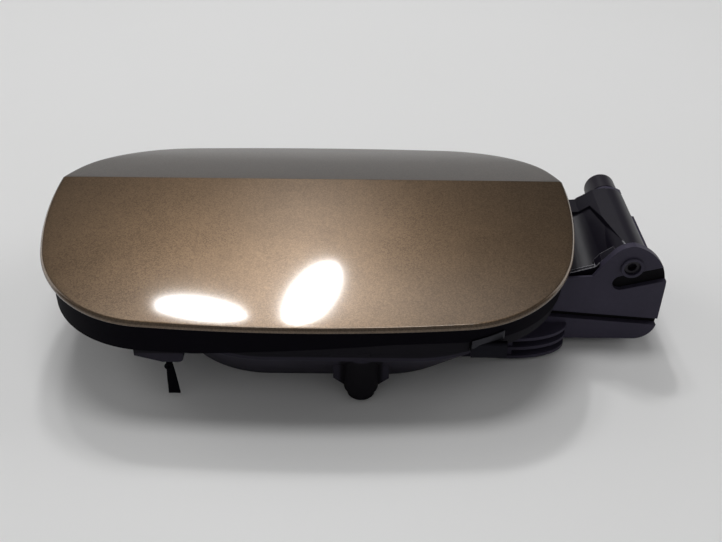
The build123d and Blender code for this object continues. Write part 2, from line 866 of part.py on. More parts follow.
# Rubber stops between shelf and frame
def make_stop_buffers():
    stops = []
    for side_y in (-1, 1):
        y = side_y * stop_y
        foot = rod_z(shelf_top, shelf_top + stop_foot_height, stop_x, y, stop_foot_radius)
        foot = fillet(foot.edges().filter_by(GeomType.CIRCLE).sort_by(Axis.Z)[-1], stop_foot_height / 2)
        column = rod_z(shelf_top, tall, stop_x, y, stop_radius) & under_roof(frame_drop + stop_gap)
        stops.append(foot + column)
    return Compound(children=stops)


def make_lock_body():
    body = block(lock_left, lock_right, -lock_half, lock_half, lock_low_z, shelf_z)
    body = fillet(body.edges().filter_by(Axis.Z), lock_round)
    ear_half = lock_ear_length
    ears = block(lock_screw_x - ear_half, lock_screw_x + ear_half, -lock_half - lock_ear_length,
                 lock_half + lock_ear_length, shelf_z - lock_ear_height, shelf_z)
    body += fillet(ears.edges().filter_by(Axis.Z), lock_round)
    half = plug_length / 2
    end = lock_half + plug_reach
    plug = block(plug_x - half, plug_x + half, 0, end, plug_low_z, plug_high_z)
    body += plug
    body -= block(plug_x - half + plug_wall, plug_x + half - plug_wall, lock_half, end + bite,
                  plug_low_z + plug_wall, plug_high_z - plug_wall)
    body -= rod_x(bolt_back_x - bite, lock_right + bite, 0, bolt_z, bolt_radius + bolt_gap)
    for side_y in (-1, 1):
        body -= rod_z(0, tall, lock_screw_x, side_y * lock_screw_y, screw_radius + screw_gap)
    return body


def make_lock_cover():
    cover = block(lock_left, lock_right, -lock_half, lock_half, lock_low_z - cover_height, lock_low_z)
    cover = fillet(cover.edges().filter_by(Axis.Z), lock_round)
    return chamfer(cover.edges().group_by(Axis.Z)[0], cover_height / 2)


def make_lock_screws():
    seat = shelf_z - lock_ear_height
    screws = []
    for side_y in (-1, 1):
        screws.append(screw(lock_screw_x, side_y * lock_screw_y, seat, lock_ear_height + wall - bite / 2, 1))
    return Compound(children=screws)


def make_bolt_seal():
    end = guide_end_x + bolt_seal_length
    rubber = rod_x(guide_end_x, end, 0, bolt_z, bolt_seal_radius)
    rubber = fillet(rubber.edges().filter_by(GeomType.CIRCLE).sort_by(Axis.X)[-1], bolt_seal_length / 2)
    return rubber - rod_x(-reach, reach, 0, bolt_z, bolt_radius + bolt_gap)


def make_lock_bolt():
    bolt = rod_x(bolt_back_x, bolt_tip_x, 0, bolt_z, bolt_radius)
    return fillet(bolt.edges().filter_by(GeomType.CIRCLE).sort_by(Axis.X)[-1], bolt_tip_round)


# Folded steel clips in notches of the shelf, each with a tongue for the body panel
def make_body_clips():
    clips = []
    low = shelf_z - clip_gap - clip_thickness / 2
    high = shelf_z + seal_rise - clip_drop
    leg = clip_seat + clip_gap + clip_thickness / 2
    for x, side_y in clip_spots:
        path = FilletPolyline(
            (side_y * (clip_seat - clip_grip), low),
            (side_y * leg, low),
            (side_y * leg, high),
            (side_y * (leg + clip_fold), high),
            (side_y * (leg + clip_lean), high - clip_tongue),
            radius=clip_round,
        )
        clips.append(slab_x(trace(path, clip_thickness), x - clip_width / 2, x + clip_width / 2))
    return Compound(children=clips)


parts = {
    "pocket_housing": make_housing(),
    "rim_seal": make_rim_seal(),
    "neck_seal": make_neck_seal(),
    "hinge_pin": make_hinge_pin(),
    "leaf_spring": make_leaf_spring(),
    "spring_screw": make_spring_screw(),
    "stop_buffers": make_stop_buffers(),
    "tether_strap": make_tether_strap(),
    "body_clips": make_body_clips(),
    "lock_body": make_lock_body(),
    "lock_cover": make_lock_cover(),
    "lock_screws": make_lock_screws(),
    "bolt_seal": make_bolt_seal(),
    "lock_bolt": make_lock_bolt(),
    "outer_panel": make_outer_panel(),
    "flap_frame": make_flap_frame(),
    "push_nuts": make_push_nuts(),
    "lock_hook": make_lock_hook(),
    "cap_holder": make_cap_holder(),
    "flap_screws": make_flap_screws(),
}
for name, solid in parts.items():
    export_step(solid, os.path.join("parts", name + ".step"))
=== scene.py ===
import json
import math
import bpy
from mathutils import Euler, Matrix, Vector


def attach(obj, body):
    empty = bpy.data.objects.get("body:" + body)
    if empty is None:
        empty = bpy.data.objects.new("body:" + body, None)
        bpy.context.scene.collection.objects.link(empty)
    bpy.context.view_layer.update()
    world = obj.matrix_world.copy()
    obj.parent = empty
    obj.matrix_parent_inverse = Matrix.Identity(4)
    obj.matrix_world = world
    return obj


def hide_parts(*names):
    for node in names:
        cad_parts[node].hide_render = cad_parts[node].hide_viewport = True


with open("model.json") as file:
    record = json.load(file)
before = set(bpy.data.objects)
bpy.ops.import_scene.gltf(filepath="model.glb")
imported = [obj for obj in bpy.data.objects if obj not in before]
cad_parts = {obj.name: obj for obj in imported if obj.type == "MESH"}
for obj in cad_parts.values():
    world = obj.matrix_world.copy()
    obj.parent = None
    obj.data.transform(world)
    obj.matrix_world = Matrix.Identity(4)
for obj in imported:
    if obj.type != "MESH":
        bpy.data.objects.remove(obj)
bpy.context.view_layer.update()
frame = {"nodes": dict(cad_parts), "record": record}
nodes = frame["nodes"]
scene = bpy.context.scene
scene.view_settings.view_transform = "Standard"
mm = 0.001
fullTurn = 2 * math.pi
quarterTurn = math.pi / 2
print("frame loaded:", len(nodes), "nodes")


class Signal:  # one socket that can take part in sums
    def __init__(self, bench, socket):
        self.bench = bench
        self.socket = socket

    def join(self, operation, *parts):
        sockets = dict(enumerate(parts))
        return self.bench.node("ShaderNodeMath", {"operation": operation}, sockets).signal(0)

    def __add__(self, other):
        return self.join("ADD", self, other)

    def __radd__(self, other):
        return self.join("ADD", other, self)

    def __sub__(self, other):
        return self.join("SUBTRACT", self, other)

    def __rsub__(self, other):
        return self.join("SUBTRACT", other, self)

    def __mul__(self, other):
        return self.join("MULTIPLY", self, other)

    def __rmul__(self, other):
        return self.join("MULTIPLY", other, self)

    def __truediv__(self, other):
        return self.join("DIVIDE", self, other)

    def __rtruediv__(self, other):
        return self.join("DIVIDE", other, self)

    def __pow__(self, other):
        return self.join("POWER", self, other)

    def __rpow__(self, other):
        return self.join("POWER", other, self)

    def __abs__(self):
        return self.join("ABSOLUTE", self)

    def above(self, other):
        return self.join("GREATER_THAN", self, other)

    def atLeast(self, other):
        return self.join("MAXIMUM", self, other)

    def sine(self):
        return self.join("SINE", self)

    def cosine(self):
        return self.join("COSINE", self)

    def root(self):
        return self.join("SQRT", self)

    def sign(self):
        return self.join("SIGN", self)

    def bell(self, middle, width):  # 1 at the middle, fading to both sides
        away = (self - middle) / width
        return math.e ** (0 - away * away)


class Made:  # a node just added, with its outputs as signals
    def __init__(self, bench, node):
        self.bench = bench
        self.node = node

    def signal(self, name=0):
        return Signal(self.bench, self.node.outputs[name])


class Bench:  # any node tree
    def node(self, kind, settings=None, sockets=None):
        made = self.tree.nodes.new(kind)
        for name, value in (settings or {}).items():
            setattr(made, name, value)
        for name, value in (sockets or {}).items():
            self.feed(made.inputs[name], value)
        return Made(self, made)

    def feed(self, socket, value):
        if isinstance(value, Made):
            value = value.signal(0)
        if isinstance(value, list):  # several links into one socket
            for part in value:
                self.feed(socket, part)
        elif isinstance(value, Signal):
            self.tree.links.new(value.socket, socket)
        elif isinstance(value, tuple) and len(value) == 3 and socket.type == "RGBA":
            socket.default_value = (*value, 1.0)
        else:
            socket.default_value = value

    def range(self, value, low, high, toLow=0.0, toHigh=1.0, curve="LINEAR"):
        sockets = {"Value": value, "From Min": low, "From Max": high, "To Min": toLow, "To Max": toHigh}
        settings = {"clamp": True, "interpolation_type": curve}
        return self.node("ShaderNodeMapRange", settings, sockets).signal(0)

    def parts(self, vector):
        split = self.node("ShaderNodeSeparateXYZ", {}, {0: vector})
        return split.signal("X"), split.signal("Y"), split.signal("Z")

    def vector(self, x, y, z):
        return self.node("ShaderNodeCombineXYZ", {}, {"X": x, "Y": y, "Z": z}).signal(0)


class Finish(Bench):  # the nodes of one material or of the world
    def __init__(self, owner):
        self.owner = owner
        owner.use_nodes = True
        self.tree = owner.node_tree
        self.tree.nodes.clear()

    def here(self):
        return self.node("ShaderNodeTexCoord").signal("Object")

    def place(self, stretch=(1, 1, 1)):
        return self.node("ShaderNodeMapping", {}, {"Vector": self.here(), "Scale": stretch}).signal(0)

    def noise(self, scale, detail=2.0, roughness=0.5, stretch=(1, 1, 1)):
        sockets = {"Vector": self.place(stretch), "Scale": scale, "Detail": detail, "Roughness": roughness}
        return self.node("ShaderNodeTexNoise", {}, sockets).signal("Fac")

    def cells(self, size):  # one random colour per cell
        sockets = {"Vector": self.place(), "Scale": 1 / size}
        made = self.node("ShaderNodeTexVoronoi", {"feature": "F1"}, sockets)
        return self.node("ShaderNodeSeparateColor", {}, {"Color": made.signal("Color")})

    def mix(self, share, first, second):
        made = self.node("ShaderNodeMix", {"data_type": "RGBA"})
        for name, value in (("Factor_Float", share), ("A_Color", first), ("B_Color", second)):
            socket = next(s for s in made.node.inputs if s.identifier == name)
            self.feed(socket, value)
        socket = next(s for s in made.node.outputs if s.identifier == "Result_Color")
        return Signal(self, socket)

    def rounded(self, radius):
        return self.node("ShaderNodeBevel", {"samples": 4}, {"Radius": radius}).signal(0)

    def bump(self, height, distance, strength=1.0, normal=None):
        sockets = {"Height": height, "Distance": distance, "Strength": strength}
        if normal is not None:
            sockets["Normal"] = normal
        return self.node("ShaderNodeBump", {}, sockets).signal(0)

    def surface(self, **inputs):
        names = {"colour": "Base Color", "roughness": "Roughness", "metallic": "Metallic",
                 "specular": "Specular IOR Level", "normal": "Normal",
                 "coat": "Coat Weight", "coatRoughness": "Coat Roughness"}
        sockets = {names[key]: value for key, value in inputs.items()}
        shader = self.node("ShaderNodeBsdfPrincipled", {}, sockets)
        self.node("ShaderNodeOutputMaterial", {}, {"Surface": shader.signal(0)})
        return self.owner


def newFinish(name):
    return Finish(bpy.data.materials.new(name))


# Bronze paint: fine flakes under a clear coat
paint = {
    "dark": (0.062, 0.0406, 0.0241),
    "light": (0.129, 0.0861, 0.0519),
    "flakeSize": 0.34 * mm,
    "metallic": 1.0,
    "roughness": 0.34,
    "coatRoughness": 0.07,
    "flakeShare": 0.6,
    "cloudScale": 70.0,
    "hazeScale": 24.0,
    "hazeRough": 0.04,
    "flakeRough": 0.03,
    "peel": 0.006 * mm,
    "peelScale": 260.0,
}


def bronzePaint():
    finish = newFinish("bronze_paint")
    spark = finish.cells(paint["flakeSize"])
    cloud = finish.noise(paint["cloudScale"], 3.0)
    glint = spark.signal("Red") * paint["flakeShare"] + cloud * (1 - paint["flakeShare"])
    colour = finish.mix(finish.range(glint, 0.1, 0.9), paint["dark"], paint["light"])
    haze = finish.noise(paint["hazeScale"], 4.0)
    rough = paint["roughness"] - paint["hazeRough"] / 2 + haze * paint["hazeRough"]
    rough = rough + spark.signal("Blue") * paint["flakeRough"]
    peel = finish.bump(finish.noise(paint["peelScale"], 1.0), paint["peel"])
    return finish.surface(colour=colour, metallic=paint["metallic"], roughness=rough, normal=peel,
                          coat=1.0, coatRoughness=paint["coatRoughness"])


# Moulded plastics: satin blue-black housing, smoother arm, grained lock, pale bolt
plastic = {
    "housing": {"colour": (0.0385, 0.0345, 0.0540), "roughness": 0.44, "specular": 0.12,
                "grain": 0.012 * mm, "edge": 0.4 * mm},
    "arm": {"colour": (0.0080, 0.0066, 0.0120), "roughness": 0.42, "specular": 0.2,
            "grain": 0.006 * mm, "edge": 0.5 * mm},
    "pin": {"colour": (0.0130, 0.0105, 0.0165), "roughness": 0.40, "specular": 0.25,
            "grain": 0.006 * mm, "edge": 0.4 * mm},
    "lock": {"colour": (0.0140, 0.0140, 0.0160), "roughness": 0.52, "specular": 0.35,
             "grain": 0.03 * mm, "edge": 0.4 * mm},
    "bolt": {"colour": (0.55, 0.53, 0.47), "roughness": 0.35, "specular": 0.5,
             "grain": 0.01 * mm, "edge": 0.3 * mm},
}
mould = {
    "patchScale": 35.0, "patchRough": 0.12, "dustScale": 700.0, "dustShare": 0.25, "dustFrom": 0.45,
    "dustTo": 0.9, "pale": 1.35, "paleLift": 0.001, "grainScale": 1600.0, "grainStrength": 0.6,
}
# Painted shade: darker colour in the slot and groove of the hinge box, a patchy darker coat on the bowl under
# the flap, a dark spout and a dark rim wall, all where shade falls
paintedShade = {
    "colour": (0.0025, 0.0020, 0.0032), "rough": 0.3,
    "faceY": -25.0 * mm, "from": 0.8 * mm, "to": 3.2 * mm, "left": 62.0 * mm, "facing": -0.8,
    "bowlShade": 0.62, "bowlShadeFrom": 66.0 * mm, "bowlShadeTo": 48.0 * mm, "bowlShadeScale": 50.0, "bowlShadeThin": 0.7,
    "spout": 0.97, "spoutHalf": 10.0 * mm, "spoutCore": 0.7, "spoutY": -48.0 * mm, "spoutTop": 20.0 * mm,
    "spoutFade": 2.0 * mm, "outward": 0.1,
    "rim": 0.9, "rimBase": 22.5 * mm, "rimFade": 1.0 * mm, "boxHalf": 26.5 * mm,
}


# Mask of the painted shade on the housing: the hinge box's recesses, the bowl, the spout and the rim wall
def paintedShadeMask(finish):
    x, y, z = finish.parts(finish.here())
    facing = finish.parts(finish.node("ShaderNodeTexCoord").signal("Normal"))[1]
    deep = y.above(paintedShade["faceY"] + paintedShade["from"]) * (paintedShade["faceY"] + paintedShade["to"] - y).above(0)
    recess = deep * x.above(paintedShade["left"]) * (paintedShade["facing"] - facing).above(0)
    bowlShade = finish.range(x, paintedShade["bowlShadeFrom"], paintedShade["bowlShadeTo"], 0.0, paintedShade["bowlShade"])
    bowlShade = bowlShade * finish.range(finish.noise(paintedShade["bowlShadeScale"], 4.0), 0.25, 0.6, paintedShade["bowlShadeThin"], 1.0)
    fade = paintedShade["spoutFade"]
    spout = finish.range(abs(x), paintedShade["spoutHalf"], paintedShade["spoutHalf"] * paintedShade["spoutCore"])
    spout = spout * finish.range(y, paintedShade["spoutY"] + fade, paintedShade["spoutY"])
    spout = spout * finish.range(z, paintedShade["spoutTop"] + fade, paintedShade["spoutTop"]) * paintedShade["spout"]
    spout = spout * (paintedShade["outward"] - facing).above(0)  # the outside only
    rim = finish.range(z, paintedShade["rimBase"], paintedShade["rimBase"] + paintedShade["rimFade"], 0.0, paintedShade["rim"])
    rim = rim * abs(y).above(paintedShade["boxHalf"]).atLeast((paintedShade["left"] - x).above(0))
    return recess.atLeast(bowlShade).atLeast(spout).atLeast(rim)


# Painted highlight: the arm's edges at its front end get a pale colour that stands in for glints, with lower
# roughness there
paintedGlint = {"left": 60.0 * mm, "from": -16.5 * mm, "to": -18.0 * mm, "end": -24.0 * mm, "edge": 0.6 * mm,
          "flat": 0.99, "sharp": 0.90, "colour": (0.62, 0.62, 0.66), "gain": 0.22}


# Mask of the arm's front edges that carry the painted highlight
def paintedGlintEdges(finish):
    x, y, _ = finish.parts(finish.here())
    flat = finish.node("ShaderNodeNewGeometry").signal("Normal")
    sockets = {0: flat, 1: finish.rounded(paintedGlint["edge"])}
    meet = finish.node("ShaderNodeVectorMath", {"operation": "DOT_PRODUCT"}, sockets)
    edge = finish.range(meet.signal("Value"), paintedGlint["flat"], paintedGlint["sharp"])
    front = finish.range(y, paintedGlint["from"], paintedGlint["to"]) * y.above(paintedGlint["end"]) * x.above(paintedGlint["left"])
    return edge * front


def mouldedPlastic(name):
    look = plastic[name]
    finish = newFinish(name + "_plastic")
    patch = finish.noise(mould["patchScale"], 4.0)
    fine = finish.noise(mould["grainScale"], 2.0)
    pale = tuple(min(1.0, part * mould["pale"] + mould["paleLift"]) for part in look["colour"])
    dust = patch + finish.noise(mould["dustScale"], 2.0) * mould["dustShare"]
    colour = finish.mix(finish.range(dust, mould["dustFrom"], mould["dustTo"]), look["colour"], pale)
    rough = look["roughness"] - mould["patchRough"] / 2 + patch * mould["patchRough"]
    if name == "housing":
        # Painted shade: the housing's colour is darkened by this mask, and made rougher there
        shaded = paintedShadeMask(finish)
        colour = finish.mix(shaded, colour, paintedShade["colour"])
        rough = rough + shaded * paintedShade["rough"]
    if name == "arm":
        # Painted highlight: pale colour along the arm's front edges
        edgeGlint = paintedGlintEdges(finish)
        colour = finish.mix(edgeGlint, colour, paintedGlint["colour"])
        rough = rough - edgeGlint * paintedGlint["gain"]
    grain = finish.bump(fine, look["grain"], mould["grainStrength"], finish.rounded(look["edge"]))
    return finish.surface(colour=colour, roughness=rough, normal=grain, specular=look["specular"])


# Rubber: dull, with a little bloom
rubber = {
    "colour": (0.0011, 0.0006, 0.0026), "bloom": (0.0030, 0.0022, 0.0046),
    "roughness": 0.75, "specular": 0.06,
    "bloomScale": 60.0, "bloomFrom": 0.45, "bloomTo": 0.8, "bloomRough": 0.2,
    "grain": 0.02 * mm, "grainScale": 900.0, "grainStrength": 0.5, "edge": 0.35 * mm,
}


def dullRubber(name):
    finish = newFinish(name)
    bloom = finish.noise(rubber["bloomScale"], 5.0, 0.6)
    share = finish.range(bloom, rubber["bloomFrom"], rubber["bloomTo"])
    colour = finish.mix(share, rubber["colour"], rubber["bloom"])
    rough = rubber["roughness"] - rubber["bloomRough"] / 2 + bloom * rubber["bloomRough"]
    fine = finish.noise(rubber["grainScale"], 2.0)
    grain = finish.bump(fine, rubber["grain"], rubber["grainStrength"], finish.rounded(rubber["edge"]))
    return finish.surface(colour=colour, roughness=rough, normal=grain, specular=rubber["specular"])


# Steel: rolled grain along one way
steel = {
    "spring": {"colour": (0.014, 0.014, 0.018), "roughness": 0.45},
    "leaf": {"colour": (0.046, 0.046, 0.053), "roughness": 0.45},
    "screw": {"colour": (0.46, 0.45, 0.42), "roughness": 0.3},
}
rolled = {"streakScale": 300.0, "streakAlong": (0.08, 1, 1), "streakShare": 0.6, "streakRough": 0.2,
          "stainScale": 90.0, "dim": 0.55, "from": 0.3, "to": 0.7, "smoother": 0.08, "edge": 0.2 * mm}


def rolledSteel(name):
    look = steel[name]
    finish = newFinish(name + "_steel")
    streak = finish.noise(rolled["streakScale"], 3.0, 0.6, rolled["streakAlong"])
    stain = finish.noise(rolled["stainScale"], 4.0)
    dim = tuple(part * rolled["dim"] for part in look["colour"])
    tone = streak * rolled["streakShare"] + stain * (1 - rolled["streakShare"])
    colour = finish.mix(finish.range(tone, rolled["from"], rolled["to"]), dim, look["colour"])
    rough = look["roughness"] - rolled["smoother"] + streak * rolled["streakRough"]
    return finish.surface(colour=colour, metallic=1.0, roughness=rough, normal=finish.rounded(rolled["edge"]))


finishes = {
    "bronze_paint": bronzePaint(),
    "housing_plastic": mouldedPlastic("housing"),
    "arm_plastic": mouldedPlastic("arm"),
    "pin_plastic": mouldedPlastic("pin"),
    "lock_plastic": mouldedPlastic("lock"),
    "bolt_plastic": mouldedPlastic("bolt"),
    "rim_rubber": dullRubber("rim_rubber"),
    "neck_rubber": dullRubber("neck_rubber"),
    "strap_rubber": dullRubber("strap_rubber"),
    "spring_steel": rolledSteel("spring"),
    "screw_steel": rolledSteel("screw"),
    "leaf_steel": rolledSteel("leaf"),
}
for row in frame["record"]["subparts"]:
    mesh = nodes[row["node"]].data
    mesh.materials.clear()
    mesh.materials.append(finishes[row["material_slot"]])
print("finishes set:", len(finishes))


class Shaper(Bench):  # a Geometry Nodes tree with named sizes
    def __init__(self, name, sizes):
        self.sizes = sizes
        self.tree = bpy.data.node_groups.new(name, "GeometryNodeTree")
        self.tree.interface.new_socket("Geometry", in_out="OUTPUT", socket_type="NodeSocketGeometry")
        for label, value in sizes.items():
            kind = "NodeSocketInt" if isinstance(value, int) else "NodeSocketFloat"
            self.tree.interface.new_socket(label, in_out="INPUT", socket_type=kind)
        self.entry = self.node("NodeGroupInput")

    def size(self, label):
        return self.entry.signal(label)

    def sheet(self, across, along):  # a grid whose place runs from 0 to 1 both ways
        sockets = {"Size X": 1.0, "Size Y": 1.0, "Vertices X": across + 1, "Vertices Y": along + 1}
        grid = self.node("GeometryNodeMeshGrid", {}, sockets)
        x, y, _ = self.parts(self.node("GeometryNodeInputPosition"))
        return grid.signal("Mesh"), x + 0.5, y + 0.5

    def moved(self, mesh, x, y, z):
        sockets = {"Geometry": mesh, "Position": self.vector(x, y, z)}
        return self.node("GeometryNodeSetPosition", {}, sockets).signal(0)

    def stored(self, mesh, domain, label, value):
        sockets = {"Geometry": mesh, "Name": label, "Value": value}
        settings = {"data_type": "FLOAT", "domain": domain}
        return self.node("GeometryNodeStoreNamedAttribute", settings, sockets).signal(0)

    def merged(self, mesh, gap=0.002 * mm):
        return self.node("GeometryNodeMergeByDistance", {}, {"Geometry": mesh, "Distance": gap}).signal(0)

    def smooth(self, mesh):
        return self.node("GeometryNodeSetShadeSmooth", {}, {"Geometry": mesh}).signal(0)

    def flipped(self, mesh):
        return self.node("GeometryNodeFlipFaces", {}, {"Mesh": mesh}).signal(0)

    def joined(self, *meshes):
        return self.node("GeometryNodeJoinGeometry", {}, {"Geometry": list(meshes)}).signal(0)

    def close(self, mesh, material):
        real = self.node("GeometryNodeRealizeInstances", {}, {"Geometry": mesh}).signal(0)
        sockets = {"Geometry": real, "Material": material}
        coated = self.node("GeometryNodeSetMaterial", {}, sockets).signal(0)
        self.node("NodeGroupOutput", {}, {"Geometry": coated})

    def build(self, name, body, replaced=(), finishing=None):
        seed = bpy.data.objects.new(name + "_seed", bpy.data.meshes.new(name + "_seed"))
        scene.collection.objects.link(seed)
        modifier = seed.modifiers.new("shape", "NODES")
        modifier.node_group = self.tree
        for item in self.tree.interface.items_tree:
            if item.in_out == "INPUT":
                modifier[item.identifier] = self.sizes[item.name]
        if finishing:
            finishing(seed)
        ready = seed.evaluated_get(bpy.context.evaluated_depsgraph_get())
        mesh = bpy.data.meshes.new_from_object(ready)
        mesh.name = name
        bpy.data.objects.remove(seed)
        piece = bpy.data.objects.new(name, mesh)
        scene.collection.objects.link(piece)
        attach(piece, body)
        if replaced:
            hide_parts(*replaced)
        print("piece made:", name, len(mesh.polygons), "faces")


# Flap outline: a long arc per edge, an arc per side and an arc per corner
outline = {"halfLength": 100 * mm, "halfHeight": 67 * mm, "centreX": -20 * mm,
           "edgeArc": 665 * mm, "sideArc": 124 * mm, "cornerArc": 46 * mm}
roof = {"creaseY": 14 * mm, "creaseZ": 51 * mm, "lowerFall": 8.15, "upperFall": 14.8,
        "lowerBulge": 0.8 * mm, "upperBulge": 0.3 * mm, "margin": 14 * mm}
# Columns on the half outline: edge, corner, side to the crease, and back again
columns = (20, 40, 10, 10, 40, 20)


def circleThrough(first, second, third):  # centre and radius of a circle in Y and Z
    (ay, az), (by, bz), (cy, cz) = first, second, third
    twice = 2 * (ay * (bz - cz) + by * (cz - az) + cy * (az - bz))
    a, b, c = ay * ay + az * az, by * by + bz * bz, cy * cy + cz * cz
    y = (a * (bz - cz) + b * (cz - az) + c * (az - bz)) / twice
    z = (a * (cy - by) + b * (ay - cy) + c * (by - ay)) / twice
    return y, z, math.hypot(ay - y, az - z)


def slopeHeight(y):
    fall = roof["lowerFall"] if y < roof["creaseY"] else roof["upperFall"]
    return roof["creaseZ"] - abs(y - roof["creaseY"]) * math.tan(math.radians(fall))


def roofArc(end, bulge):
    middle = (end + roof["creaseY"]) / 2
    crest = (roof["creaseY"], roof["creaseZ"])
    return circleThrough(crest, (middle, slopeHeight(middle) + bulge), (end, slopeHeight(end)))


def flapSizes():
    edge = Vector((0, outline["halfHeight"] - outline["edgeArc"]))
    side = Vector((outline["halfLength"] - outline["sideArc"], 0))
    toEdge = outline["edgeArc"] - outline["cornerArc"]
    toSide = outline["sideArc"] - outline["cornerArc"]
    line = side - edge
    along = (toEdge ** 2 - toSide ** 2 + line.length ** 2) / (2 * line.length)
    across = math.sqrt(toEdge ** 2 - along ** 2)
    way = line.normalized()
    corner = edge + way * along + Vector((way.y, -way.x)) * across
    end = outline["halfHeight"] + roof["margin"]
    lower = roofArc(-end, roof["lowerBulge"])
    upper = roofArc(end, roof["upperBulge"])
    edgeWay = corner - edge
    sideWay = corner - side
    return {
        "Centre X": outline["centreX"], "Half Length": outline["halfLength"],
        "Edge Arc": outline["edgeArc"], "Edge Middle": edge.y,
        "Side Arc": outline["sideArc"], "Side Middle": side.x,
        "Corner Arc": outline["cornerArc"], "Corner X": corner.x, "Corner Y": corner.y,
        "Edge Turn": math.atan2(edgeWay.y, edgeWay.x), "Side Turn": math.atan2(sideWay.y, sideWay.x),
        "Crease Turn": math.asin(roof["creaseY"] / outline["sideArc"]), "Crease Y": roof["creaseY"],
        "Lower Y": lower[0], "Lower Z": lower[1], "Lower Radius": lower[2],
        "Upper Y": upper[0], "Upper Z": upper[1], "Upper Radius": upper[2],
    }


def outlinePoint(shaper, share, hand, inset):  # share runs down half the outline, hand is 1 or -1
    size = shaper.size
    edgeTurn, sideTurn, creaseTurn = size("Edge Turn"), size("Side Turn"), size("Crease Turn")
    spans = (quarterTurn - edgeTurn, edgeTurn - sideTurn, sideTurn - creaseTurn,
             creaseTurn + sideTurn, edgeTurn - sideTurn, quarterTurn - edgeTurn)
    turn = quarterTurn
    start = 0
    for count, span in zip(columns, spans):
        low = start / sum(columns)
        high = (start + count) / sum(columns)
        turn = turn - shaper.range(share, low, high) * span
        start += count
    lean = abs(turn)
    onEdge = lean.above(edgeTurn)
    onSide = 1 - lean.above(sideTurn)
    onCorner = 1 - onEdge - onSide
    radius = onEdge * size("Edge Arc") + onCorner * size("Corner Arc") + onSide * size("Side Arc") - inset
    middleX = onCorner * size("Corner X") + onSide * size("Side Middle")
    middleY = onCorner * size("Corner Y") + onEdge * size("Edge Middle")
    x = size("Centre X") + hand * (middleX + radius * turn.cosine())
    return x, middleY * turn.sign() + radius * turn.sine()


def roofHeight(shaper, y):
    size = shaper.size
    rear = y.above(size("Crease Y"))
    heights = []
    for name in ("Lower", "Upper"):
        away = y - size(name + " Y")
        reach = size(name + " Radius")
        heights.append(size(name + " Z") + (reach * reach - away * away).root())
    return heights[0] * (1 - rear) + heights[1] * rear


# Painted skin, from the crease out, over the rounded edge and back underneath
skin = {
    "thickness": 2.0 * mm, "topRound": 1.2 * mm, "backRound": 0.5 * mm, "spine": 0.8,
    "creaseRound": 4.0 * mm, "creaseSteps": 4, "creaseNear": 0.0001, "creaseShare": 0.999,
    "rows": (16, 6, 1, 4, 6),  # top, top round, side, back round, underside
    "studRadius": 2.2 * mm, "studLength": 8.4 * mm, "studDrop": 9.2 * mm, "studReach": (68 * mm, 28 * mm),
    "studSides": 24,
}


